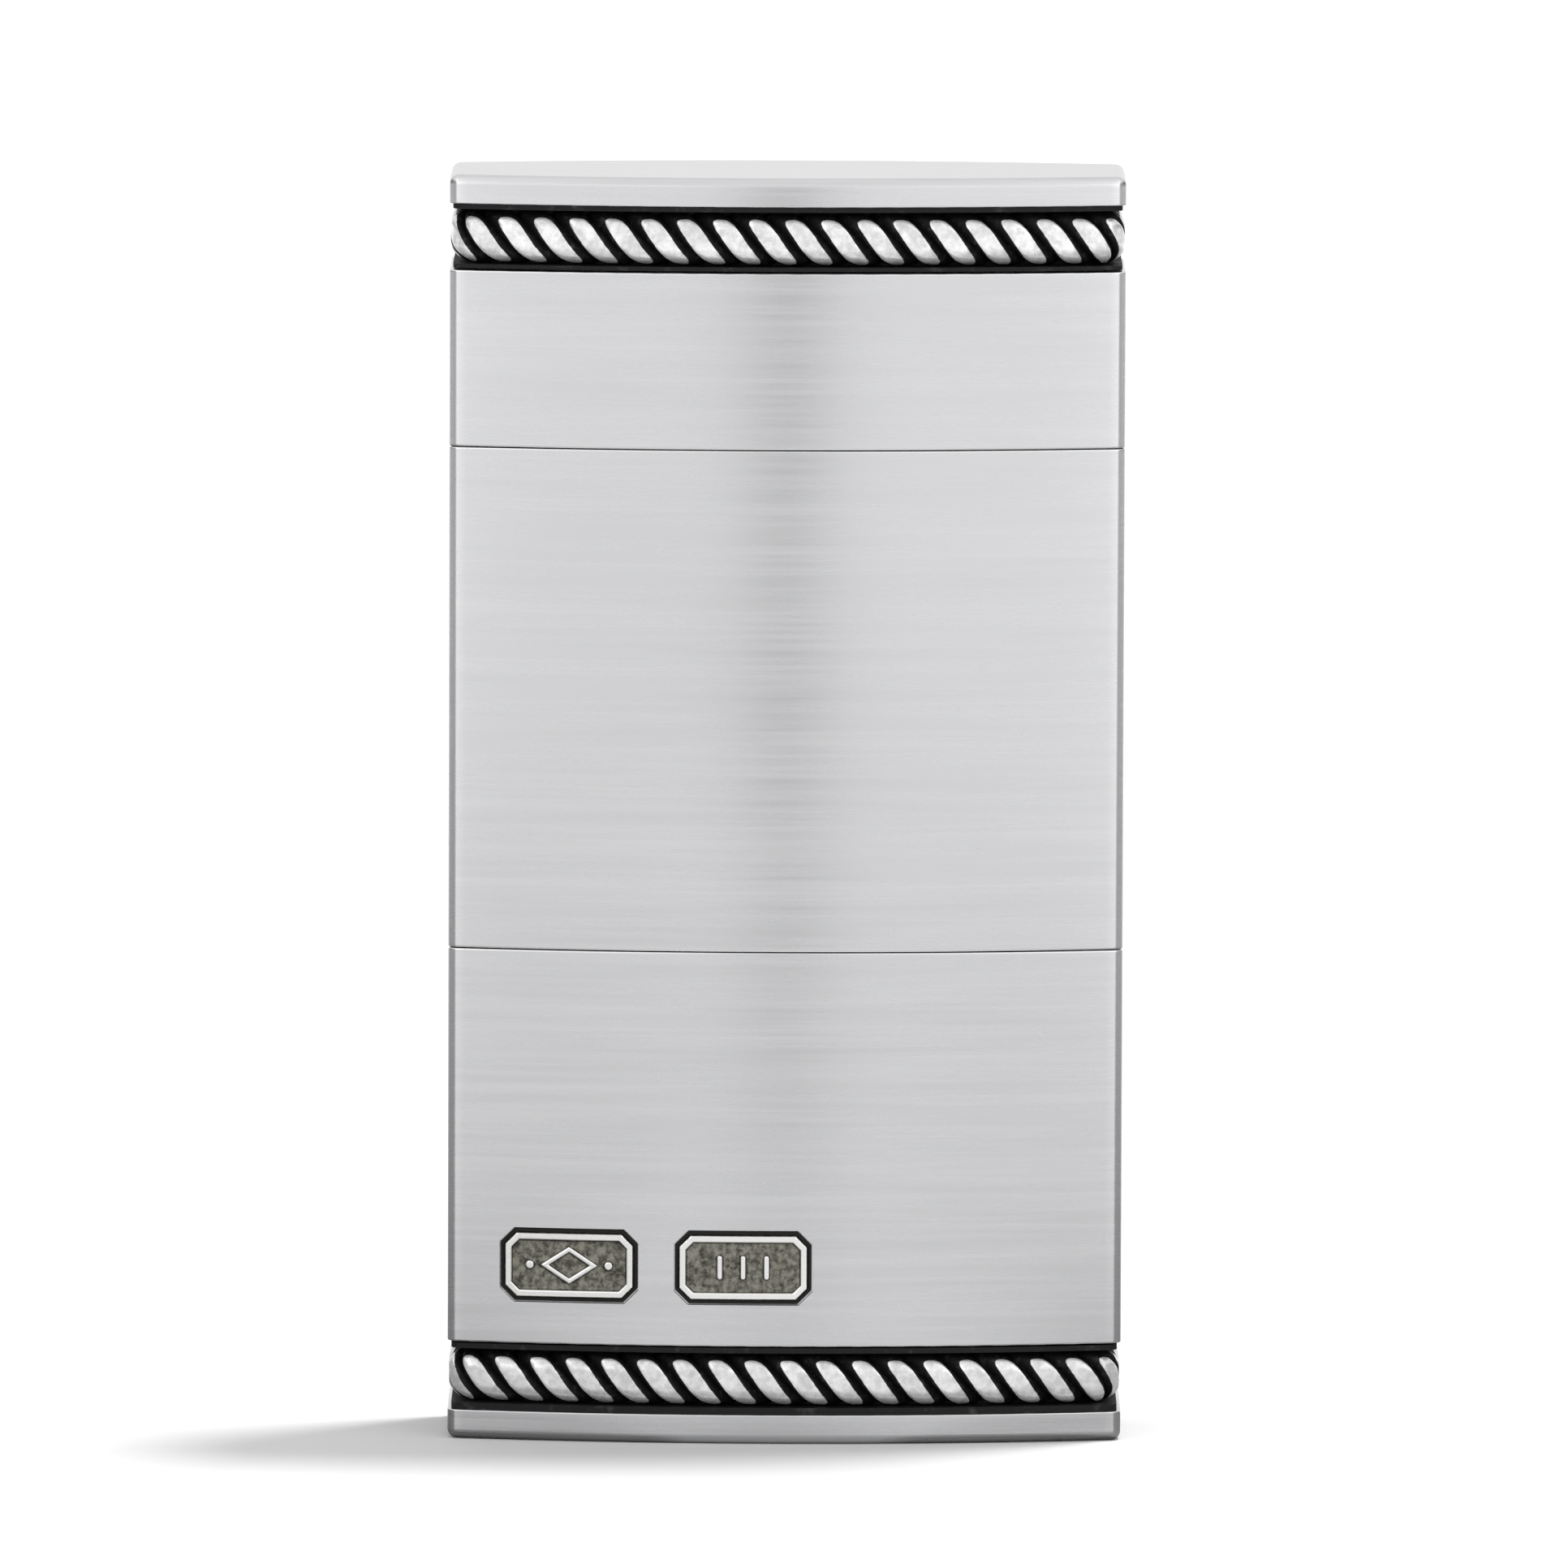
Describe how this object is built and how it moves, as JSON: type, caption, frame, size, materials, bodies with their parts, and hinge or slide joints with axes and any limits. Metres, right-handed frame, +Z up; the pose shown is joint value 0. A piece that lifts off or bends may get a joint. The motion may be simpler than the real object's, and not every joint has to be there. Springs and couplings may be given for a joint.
{
  "type": "cryptex",
  "caption": "Slim silver pocket cryptex without letters: three lens-shaped rings turn on a slotted spindle and free the head with its message vial.",
  "frame": {"origin": "middle of the foot plate's flat resting face", "axes": "+Z up along the spindle from foot to head; +X across the wide side, to the right seen from the front; -Y is the front face with the two marks"},
  "size_m": [0.036, 0.0124, 0.0678],
  "materials": {
    "brushed_silver": "sterling silver, fine brushing across the case",
    "blackened_silver": "silver blackened in the rope channels",
    "rope_silver": "twisted silver wire, bright on the crests, blackened in the grooves",
    "mark_silver": "struck silver plate, raised frame bright, sunk field darkened",
    "brass": "turned brass",
    "gilt_brass": "polished brass tube",
    "spring_steel": "blued spring steel",
    "screw_steel": "bright steel",
    "tooth_steel": "milled steel",
    "seal_rubber": "matt black rubber"
  },
  "bodies": {
    "base": {"foot_plate": "brushed_silver", "base_core": "blackened_silver", "base_rope": "rope_silver", "spindle": "brass", "ring_clips": "spring_steel", "foot_screws": "screw_steel", "spindle_screw": "screw_steel"},
    "lower_ring": {"lower_ring_shell": "brushed_silver", "lower_guide_plate": "brass", "lower_lock_plate": "brass", "lower_ring_posts": "brass", "lower_ring_screws": "screw_steel", "lower_detent_spring": "spring_steel", "lower_spring_screw": "screw_steel", "left_mark_plate": "mark_silver", "right_mark_plate": "mark_silver"},
    "middle_ring": {"middle_ring_shell": "brushed_silver", "middle_guide_plate": "brass", "middle_lock_plate": "brass", "middle_ring_posts": "brass", "middle_ring_screws": "screw_steel", "middle_detent_spring": "spring_steel", "middle_spring_screw": "screw_steel"},
    "upper_ring": {"upper_ring_shell": "brushed_silver", "upper_guide_plate": "brass", "upper_lock_plate": "brass", "upper_ring_posts": "brass", "upper_ring_screws": "screw_steel", "upper_detent_spring": "spring_steel", "upper_spring_screw": "screw_steel"},
    "head": {"cap_plate": "brushed_silver", "head_core": "blackened_silver", "head_rope": "rope_silver", "head_screws": "screw_steel", "vial": "gilt_brass", "seal_ring": "seal_rubber", "tooth_rail": "tooth_steel"}
  },
  "joints": [
    {"name": "lower_ring_turn", "type": "hinge", "parent": "base", "child": "lower_ring", "pos_m": [0, 0, 0.0158], "axis": [0, 0, 1], "continuous": true, "deforming": ["lower_detent_spring"]},
    {"name": "middle_ring_turn", "type": "hinge", "parent": "base", "child": "middle_ring", "pos_m": [0, 0, 0.0398], "axis": [0, 0, 1], "continuous": true, "deforming": ["middle_detent_spring"]},
    {"name": "upper_ring_turn", "type": "hinge", "parent": "base", "child": "upper_ring", "pos_m": [0, 0, 0.058], "axis": [0, 0, 1], "continuous": true, "deforming": ["upper_detent_spring"]},
    {"name": "head_lift", "type": "slide", "parent": "base", "child": "head", "axis": [0, 0, 1], "range_m": [0, 0.058]}
  ]
}
